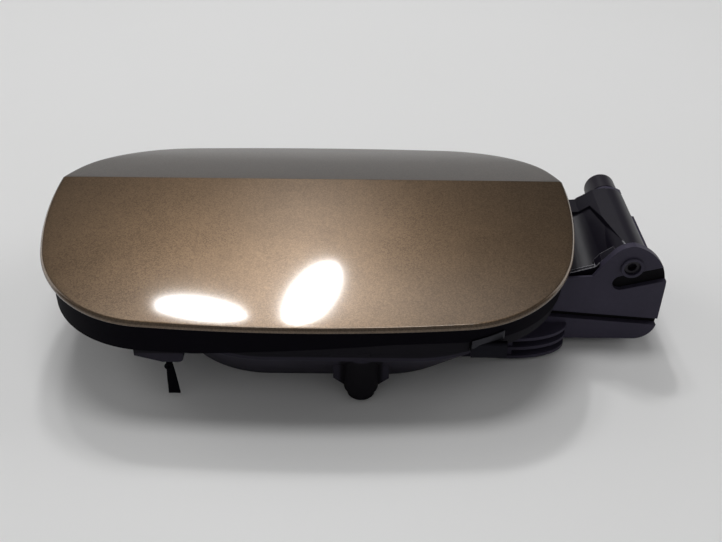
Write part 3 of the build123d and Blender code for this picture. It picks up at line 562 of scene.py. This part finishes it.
def flapSkin():
    sizes = flapSizes()
    studLow = slopeHeight(-skin["studReach"][1])
    studHigh = slopeHeight(skin["studReach"][1])
    sizes.update({
        "Thickness": skin["thickness"], "Top Round": skin["topRound"], "Back Round": skin["backRound"],
        "Spine": skin["spine"], "Around": 2 * sum(columns), "Rows": sum(skin["rows"]),
        "Stud Radius": skin["studRadius"], "Stud Length": skin["studLength"],
        "Stud Reach X": skin["studReach"][0], "Stud Reach Y": skin["studReach"][1],
        "Stud Middle": (studLow + studHigh) / 2 - skin["studDrop"] + skin["studLength"] / 2,
        "Stud Lean": (studHigh - studLow) / (2 * skin["studReach"][1]),
    })
    shaper = Shaper("flap_skin", sizes)
    size = shaper.size
    mesh, around, down = shaper.sheet(size("Around"), size("Rows"))
    hand = (0.5 - around).sign()
    share = 1 - abs(2 * around - 1)
    steps = []
    start = 0
    for count in skin["rows"]:
        steps.append(shaper.range(down * sum(skin["rows"]), start, start + count))
        start += count
    top, over, side, back, under = steps
    topTurn = over * quarterTurn
    backTurn = back * quarterTurn
    inset = size("Top Round") * (1 - topTurn.sine()) + size("Back Round") * (1 - backTurn.cosine())
    straight = size("Thickness") - size("Top Round") - size("Back Round")
    drop = size("Top Round") * (1 - topTurn.cosine()) + straight * side
    drop = drop + size("Back Round") * backTurn.sine()
    outX, outY = outlinePoint(shaper, share, hand, inset)
    inX = size("Centre X") + hand * size("Spine") * size("Half Length") * (1 - abs(2 * share - 1))
    reach = top * (1 - under)
    x = inX + (outX - inX) * reach
    y = size("Crease Y") + (outY - size("Crease Y")) * reach
    near = skin["creaseNear"]
    onCrease = (near - reach).above(0).atLeast((near - abs(share - 0.5)).above(0))
    marked = shaper.stored(mesh, "POINT", "crease", onCrease)
    shell = shaper.merged(shaper.moved(marked, x, y, roofHeight(shaper, y) - drop))
    crease = shaper.node("GeometryNodeInputNamedAttribute", {"data_type": "FLOAT"}, {"Name": "crease"})
    sharp = crease.signal("Attribute").above(skin["creaseShare"])  # edges with both ends on the crease
    shell = shaper.stored(shell, "EDGE", "bevel_weight_edge", sharp)
    sockets = {"Size X": size("Stud Reach X") * 2, "Size Y": size("Stud Reach Y") * 2,
               "Vertices X": 2, "Vertices Y": 2}
    spots = shaper.node("GeometryNodeMeshGrid", {}, sockets).signal("Mesh")
    spotX, spotY, _ = shaper.parts(shaper.node("GeometryNodeInputPosition"))
    spotZ = size("Stud Middle") + spotY * size("Stud Lean")
    spots = shaper.moved(spots, spotX + size("Centre X"), spotY, spotZ)
    sockets = {"Vertices": skin["studSides"], "Radius": size("Stud Radius"), "Depth": size("Stud Length")}
    stud = shaper.node("GeometryNodeMeshCylinder", {}, sockets).signal("Mesh")
    sockets = {"Points": spots, "Instance": stud}
    studs = shaper.node("GeometryNodeInstanceOnPoints", {}, sockets).signal(0)
    shaper.close(shaper.joined(shaper.smooth(shell), studs), finishes["bronze_paint"])

    def creaseEdge(seed):
        bevel = seed.modifiers.new("crease", "BEVEL")
        bevel.limit_method = "WEIGHT"
        bend = math.radians(roof["lowerFall"] + roof["upperFall"])
        bevel.width = skin["creaseRound"] * math.tan(bend / 4)
        bevel.segments = skin["creaseSteps"]
        even = seed.modifiers.new("even", "WEIGHTED_NORMAL")
        even.keep_sharp = True

    shaper.build("flap_skin", "flap", ["outer_panel"], creaseEdge)


flapSkin()

# Two soft beads along the top of the rim seal, open at the hinge
beads = {"insets": (3.7 * mm, 6.3 * mm), "radius": 0.34 * mm, "drop": 2.42 * mm, "gapHalf": 26 * mm,
         "taper": 0.004, "around": 300, "profile": 8}


def outlineShare(turn):  # how far down the half outline a given turn lies
    sizes = flapSizes()
    stops = [quarterTurn, sizes["Edge Turn"], sizes["Side Turn"], sizes["Crease Turn"],
             -sizes["Side Turn"], -sizes["Edge Turn"], -quarterTurn]
    start = 0
    for count, high, low in zip(columns, stops, stops[1:]):
        if turn >= low:
            return (start + count * (high - turn) / (high - low)) / sum(columns)
        start += count
    return 1.0


def sealBeads():
    gapTurn = math.asin(beads["gapHalf"] / outline["sideArc"])
    sizes = flapSizes()
    sizes.update({
        "Bead Radius": beads["radius"], "Drop": beads["drop"], "Taper": beads["taper"],
        "Start": -outlineShare(gapTurn), "End": 2 - outlineShare(-gapTurn),
        "Around": beads["around"], "Profile": beads["profile"],
    })
    for number, inset in enumerate(beads["insets"], 1):
        sizes["Inset %d" % number] = inset
    shaper = Shaper("seal_beads", sizes)
    size = shaper.size
    made = []
    for number in range(1, len(beads["insets"]) + 1):
        mesh, along, across = shaper.sheet(size("Around"), size("Profile"))
        walk = size("Start") + along * (size("End") - size("Start"))
        share = 1 - abs(1 - abs(walk))
        hand = 2 * abs(walk - 0.5).above(0.5) - 1
        ends = shaper.range(0.5 - abs(along - 0.5), 0.0, size("Taper")).root()
        turn = across * fullTurn
        radius = size("Bead Radius") * ends
        x, y = outlinePoint(shaper, share, hand, size("Inset %d" % number) + radius * turn.cosine())
        z = roofHeight(shaper, y) - size("Drop") + radius * turn.sine()
        made.append(shaper.flipped(shaper.smooth(shaper.merged(shaper.moved(mesh, x, y, z)))))
    shaper.close(shaper.joined(*made), finishes["rim_rubber"])
    shaper.build("seal_beads", "housing")


sealBeads()


def squareTube(shaper, rows):  # a tube of squarish section, drawn in to a point at each end
    size = shaper.size
    mesh, around, down = shaper.sheet(size("Around"), size("Rows"))
    row = down * rows
    along = shaper.range(row, 1, rows - 1)
    full = row.above(0.5) * (rows - 0.5 - row).above(0)
    turn = around * fullTurn
    power = 2 / size("Square")
    across = turn.cosine().sign() * abs(turn.cosine()) ** power
    deep = turn.sine().sign() * abs(turn.sine()) ** power
    return mesh, along, full, across, deep


# Outer leaf of each body clip, laid over the seal and rising towards the hinge
leaf = {"from": 82.2, "to": 66.8, "inset": 2.3 * mm, "thickness": 0.5 * mm, "height": 3.6 * mm,
        "lowZ": 30.0 * mm, "highZ": 32.4 * mm, "square": 7.0, "around": 32, "rows": 20, "weld": 0.01 * mm}


def clipLeaves():
    sizes = flapSizes()
    sizes.update({
        "Start": outlineShare(-math.radians(leaf["from"])), "End": outlineShare(-math.radians(leaf["to"])),
        "Inset": leaf["inset"], "Leaf Thickness": leaf["thickness"], "Leaf Height": leaf["height"],
        "Low Z": leaf["lowZ"], "High Z": leaf["highZ"], "Square": leaf["square"],
        "Around": leaf["around"], "Rows": leaf["rows"],
    })
    shaper = Shaper("clip_leaves", sizes)
    size = shaper.size
    made = []
    for front in (True, False):
        mesh, along, full, across, deep = squareTube(shaper, leaf["rows"])
        across = across * full
        deep = deep * full
        share = size("Start") + (size("End") - size("Start")) * along
        if not front:
            share = 1 - share
        x, y = outlinePoint(shaper, share, 1.0, size("Inset") - deep * size("Leaf Thickness") / 2)
        z = size("Low Z") + (size("High Z") - size("Low Z")) * along + across * size("Leaf Height") / 2
        plate = shaper.smooth(shaper.merged(shaper.moved(mesh, x, y, z), leaf["weld"]))
        made.append(plate if front else shaper.flipped(plate))
    shaper.close(shaper.joined(*made), finishes["leaf_steel"])
    shaper.build("clip_leaves", "housing")


clipLeaves()


def ringAround(shaper, around, profile, radius, wire):  # a ring, two ways across and one along its axis
    mesh, along, over = shaper.sheet(around, profile)
    turn = along * fullTurn
    roll = over * fullTurn
    reach = radius + wire * roll.cosine()
    return mesh, reach * turn.cosine(), reach * turn.sine(), wire * roll.sine()


# Grip ribs round the mouth of the neck seal
ribs = {"first": 28.2 * mm, "step": 2.1 * mm, "count": 3, "radius": 0.45 * mm, "height": 7.3 * mm,
        "around": 120, "profile": 10}


def neckRibs():
    sizes = {"First Radius": ribs["first"], "Step": ribs["step"], "Rib Radius": ribs["radius"],
             "Height": ribs["height"], "Around": ribs["around"], "Profile": ribs["profile"]}
    shaper = Shaper("neck_ribs", sizes)
    size = shaper.size
    made = []
    for number in range(ribs["count"]):
        radius = size("First Radius") + size("Step") * number
        mesh, x, y, rise = ringAround(shaper, size("Around"), size("Profile"), radius, size("Rib Radius"))
        made.append(shaper.smooth(shaper.merged(shaper.moved(mesh, x, y, size("Height") + rise))))
    shaper.close(shaper.joined(*made), finishes["neck_rubber"])
    shaper.build("neck_ribs", "housing")


neckRibs()


# Cut strap under the lug: edge-on at the top, flat at its frayed end, with a small eyelet beside it
strap = {
    "place": (-67.9 * mm, -57.8 * mm), "lean": 0.5 * mm, "top": 22.3 * mm, "low": 19.4 * mm, "end": 2.7 * mm,
    "width": 3.9 * mm, "thickness": 0.9 * mm, "twist": 70.0, "square": 5.0, "around": 40, "rows": 44,
    "narrow": 0.45, "narrowPower": 1.5, "flare": 0.10, "flarePower": 8, "lip": 0.35, "lipPower": 6,
    "fray": 0.9 * mm, "frayPower": 10, "frayScale": 1.7, "frayStretch": (2.3, 0.4),
    "eyelet": (-67.9 * mm, -59.0 * mm, 16.2 * mm), "eyeletRadius": 1.1 * mm, "eyeletWire": 0.42 * mm,
    "eyeletAround": 28, "eyeletProfile": 10,
}


def cutStrap():
    sizes = {
        "Place X": strap["place"][0], "Place Y": strap["place"][1], "Lean": strap["lean"],
        "Top": strap["top"], "Low": strap["low"], "End": strap["end"], "Width": strap["width"],
        "Narrow": strap["narrow"], "Thickness": strap["thickness"], "Twist": math.radians(strap["twist"]),
        "Lip": strap["lip"], "Fray": strap["fray"], "Flare": strap["flare"],
        "Square": strap["square"], "Around": strap["around"], "Rows": strap["rows"],
        "Eyelet X": strap["eyelet"][0], "Eyelet Y": strap["eyelet"][1], "Eyelet Z": strap["eyelet"][2],
        "Eyelet Radius": strap["eyeletRadius"], "Eyelet Wire": strap["eyeletWire"],
    }
    shaper = Shaper("strap", sizes)
    size = shaper.size
    mesh, share, full, across, deep = squareTube(shaper, strap["rows"])
    level = size("Top") + (size("End") - size("Top")) * share
    hang = shaper.range(level, size("Low"), size("End"))
    taper = 1 - size("Narrow") * (1 - hang) ** strap["narrowPower"]
    taper = taper + size("Flare") * hang ** strap["flarePower"]
    wide = across * size("Width") / 2 * taper * full
    swell = 1 + size("Lip") * abs(across) ** strap["lipPower"] - size("Lip") * 0.5
    thick = deep * size("Thickness") / 2 * swell * full
    twist = size("Twist") * (1 - hang)
    spot = shaper.vector(across * strap["frayStretch"][0], deep * strap["frayStretch"][1], 0.0)
    sockets = {"Vector": spot, "Scale": strap["frayScale"], "Detail": 3.0}
    ragged = shaper.node("ShaderNodeTexNoise", {}, sockets).signal(0) - 0.5
    x = size("Place X") + size("Lean") * hang + wide * twist.cosine() - thick * twist.sine()
    y = size("Place Y") + wide * twist.sine() + thick * twist.cosine()
    z = level + abs(ragged) * size("Fray") * hang ** strap["frayPower"] * full
    strip = shaper.smooth(shaper.merged(shaper.moved(mesh, x, y, z)))
    ring, x, z, y = ringAround(shaper, strap["eyeletAround"], strap["eyeletProfile"],
                               size("Eyelet Radius"), size("Eyelet Wire"))
    eyelet = shaper.moved(ring, size("Eyelet X") + x, size("Eyelet Y") + y, size("Eyelet Z") + z)
    both = shaper.joined(strip, shaper.smooth(shaper.merged(eyelet)))
    shaper.close(shaper.flipped(both), finishes["strap_rubber"])
    shaper.build("strap", "housing", ["tether_strap"])


cutStrap()

# Camera, as fitted to the flap's edge
camera = {"place": (-0.4 * mm, -298.2 * mm, 227.6 * mm), "pitch": 35.3, "roll": 0.6,
          "sensor": 36, "lensShare": 900 / 722, "clip": 0.01}


def addCamera():
    data = bpy.data.cameras.new("photo_camera")
    data.sensor_fit = "HORIZONTAL"
    data.sensor_width = camera["sensor"]
    data.lens = camera["sensor"] * camera["lensShare"]
    data.clip_start = camera["clip"]
    made = bpy.data.objects.new("photo_camera", data)
    turn = Euler((math.radians(90 - camera["pitch"]), 0, 0)).to_matrix()
    turn = turn @ Matrix.Rotation(math.radians(camera["roll"]), 3, "Z")
    made.matrix_world = Matrix.Translation(camera["place"]) @ turn.to_4x4()
    scene.collection.objects.link(made)
    scene.camera = made


# Two slanted lamps behind, where their reflections on the flap show them, and a soft bank above them
lamps = [
    {"name": "lamp_main", "azimuth": -5.4, "elevation": 54.5, "slant": 117.0, "size": (0.22, 0.088),
     "watts": 3.6, "aim": (-16.5, -49.2, 42.7)},
    {"name": "lamp_left", "azimuth": -17.7, "elevation": 55.0, "slant": 26.6, "size": (0.19, 0.078),
     "watts": 1.9, "aim": (-54.6, -57.7, 41.3)},
    {"name": "lamp_bank", "azimuth": -8.0, "elevation": 82.0, "slant": 0.0, "size": (0.80, 0.40),
     "watts": 6.8, "aim": (-20, 0, 45)},
]
lampDistance = 1.6


def addLamp(spec):
    data = bpy.data.lights.new(spec["name"], "AREA")
    data.shape = "ELLIPSE"
    data.size, data.size_y = spec["size"]
    data.energy = spec["watts"]
    azimuth = math.radians(spec["azimuth"])
    elevation = math.radians(spec["elevation"])
    slant = math.radians(spec["slant"])
    level = Vector((math.cos(azimuth), -math.sin(azimuth), 0))
    ahead = Vector((math.sin(azimuth), math.cos(azimuth), 0))
    way = ahead * math.cos(elevation) + Vector((0, 0, math.sin(elevation)))
    rise = Vector((0, 0, math.cos(elevation))) - ahead * math.sin(elevation)
    longWay = level * math.cos(slant) + rise * math.sin(slant)
    turn = Matrix((longWay, way.cross(longWay), way)).transposed()
    made = bpy.data.objects.new(spec["name"], data)
    made.matrix_world = Matrix.Translation(Vector(spec["aim"]) * mm + way * lampDistance) @ turn.to_4x4()
    scene.collection.objects.link(made)


# Room light: a pale horizon, brighter in front, a dark room above it, two soft glows behind,
# a fill from the front and a pale wall to each side
room = {
    "horizon": 0.29, "dark": 0.06, "horizonTop": 0.35, "front": 1.9, "frontFrom": -0.3, "frontTo": 0.4,
    "glow": 1.2, "glowX": -0.06, "glowZ": 0.76, "glowWide": 0.08, "glowTall": 0.10,
    "band": 1.7, "bandX": -0.08, "bandZ": 0.835, "bandWide": 0.24, "bandTall": 0.05,
    "fill": 0.18, "fillFrom": 0.25, "fillFull": 0.50, "fillNear": -0.05, "fillFar": -0.40,
    "left": 1.5, "leftTop": 0.85, "right": 1.6, "rightTop": 0.80, "sideFrom": 0.50, "sideFull": 0.70,
    "sideRise": (0.03, 0.15), "sideBack": (0.0, 0.12), "sideFade": 0.15,
}


def addRoom():
    world = bpy.data.worlds.new("studio")
    scene.world = world
    finish = Finish(world)
    x, y, z = finish.parts(finish.node("ShaderNodeTexCoord").signal("Generated"))
    wall = finish.range(z, 0.0, room["horizonTop"], room["horizon"], room["dark"])
    wall = wall * finish.range(y, room["frontFrom"], room["frontTo"], room["front"], 1.0)
    glows = 0.0
    for name in ("glow", "band"):
        spot = x.bell(room[name + "X"], room[name + "Wide"]) * z.bell(room[name + "Z"], room[name + "Tall"])
        glows = spot * room[name] + glows
    fill = finish.range(z, room["fillFrom"], room["fillFull"], 0.0, room["fill"])
    fill = finish.range(y, room["fillNear"], room["fillFar"]) * fill
    level = wall + fill + glows * y.above(0)
    ahead = finish.range(z, *room["sideRise"]) * finish.range(y, *room["sideBack"])
    for way, name in ((-1, "left"), (1, "right")):
        side = finish.range(x * way, room["sideFrom"], room["sideFull"], 0.0, room[name], "SMOOTHSTEP")
        top = room[name + "Top"]
        level = level + side * ahead * finish.range(z, top, top - room["sideFade"])
    back = finish.node("ShaderNodeBackground", {}, {"Color": (1.0, 1.0, 1.0), "Strength": level})
    finish.node("ShaderNodeOutputWorld", {}, {"Surface": back.signal(0)})


# Plain pale floor
floor = {"half": 20.0, "colour": (0.84, 0.84, 0.84), "tint": (0.82, 0.82, 0.815), "cloudScale": 6.0,
         "roughness": 0.5, "specular": 0.2}


def addFloor():
    half = floor["half"]
    mesh = bpy.data.meshes.new("floor")
    corners = [(-half, -half, 0), (half, -half, 0), (half, half, 0), (-half, half, 0)]
    mesh.from_pydata(corners, [], [(0, 1, 2, 3)])
    made = bpy.data.objects.new("floor", mesh)
    finish = newFinish("floor_pale")
    colour = finish.mix(finish.noise(floor["cloudScale"], 3.0), floor["colour"], floor["tint"])
    look = finish.surface(colour=colour, roughness=floor["roughness"], specular=floor["specular"])
    mesh.materials.append(look)
    scene.collection.objects.link(made)


addCamera()
for spec in lamps:
    addLamp(spec)
addRoom()
addFloor()
print("camera, lamps and floor set")
